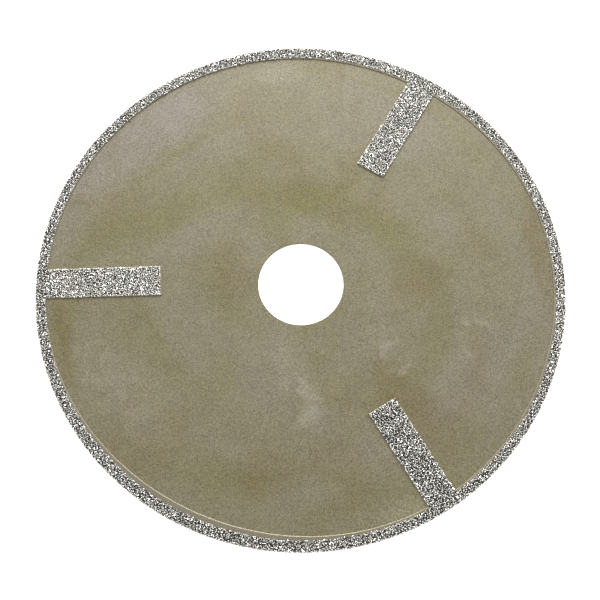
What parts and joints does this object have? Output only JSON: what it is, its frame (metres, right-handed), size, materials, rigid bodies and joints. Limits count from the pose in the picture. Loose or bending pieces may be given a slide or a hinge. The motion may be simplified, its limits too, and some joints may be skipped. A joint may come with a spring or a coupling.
{
  "type": "diamond grinding wheel",
  "caption": "Thin flat steel disc with a central arbor bore, its edge wrapped in nickel-bonded diamond grit, with radial grit strips on both faces.",
  "frame": {"origin": "centre of the wheel, on the bore's axis at mid-thickness", "axes": "+Z is the spin axis and points out of the front face; +X points away from front strip 2"},
  "size_m": [0.125, 0.125, 0.0024],
  "materials": {
    "core_steel": "satin olive-grey plated steel with faint stains",
    "nickel_bond": "satin nickel plating",
    "diamond_grit": "coarse sparkling grey grit"
  },
  "bodies": {
    "root": {"core_disc": "core_steel", "rim_bond": "nickel_bond", "rim_grit": "diamond_grit", "strip_bond_front_1": "nickel_bond", "strip_bond_front_2": "nickel_bond", "strip_bond_front_3": "nickel_bond", "strip_bond_back_1": "nickel_bond", "strip_bond_back_2": "nickel_bond", "strip_bond_back_3": "nickel_bond", "strip_grit_front_1": "diamond_grit", "strip_grit_front_2": "diamond_grit", "strip_grit_front_3": "diamond_grit", "strip_grit_back_1": "diamond_grit", "strip_grit_back_2": "diamond_grit", "strip_grit_back_3": "diamond_grit"}
  },
  "joints": []
}
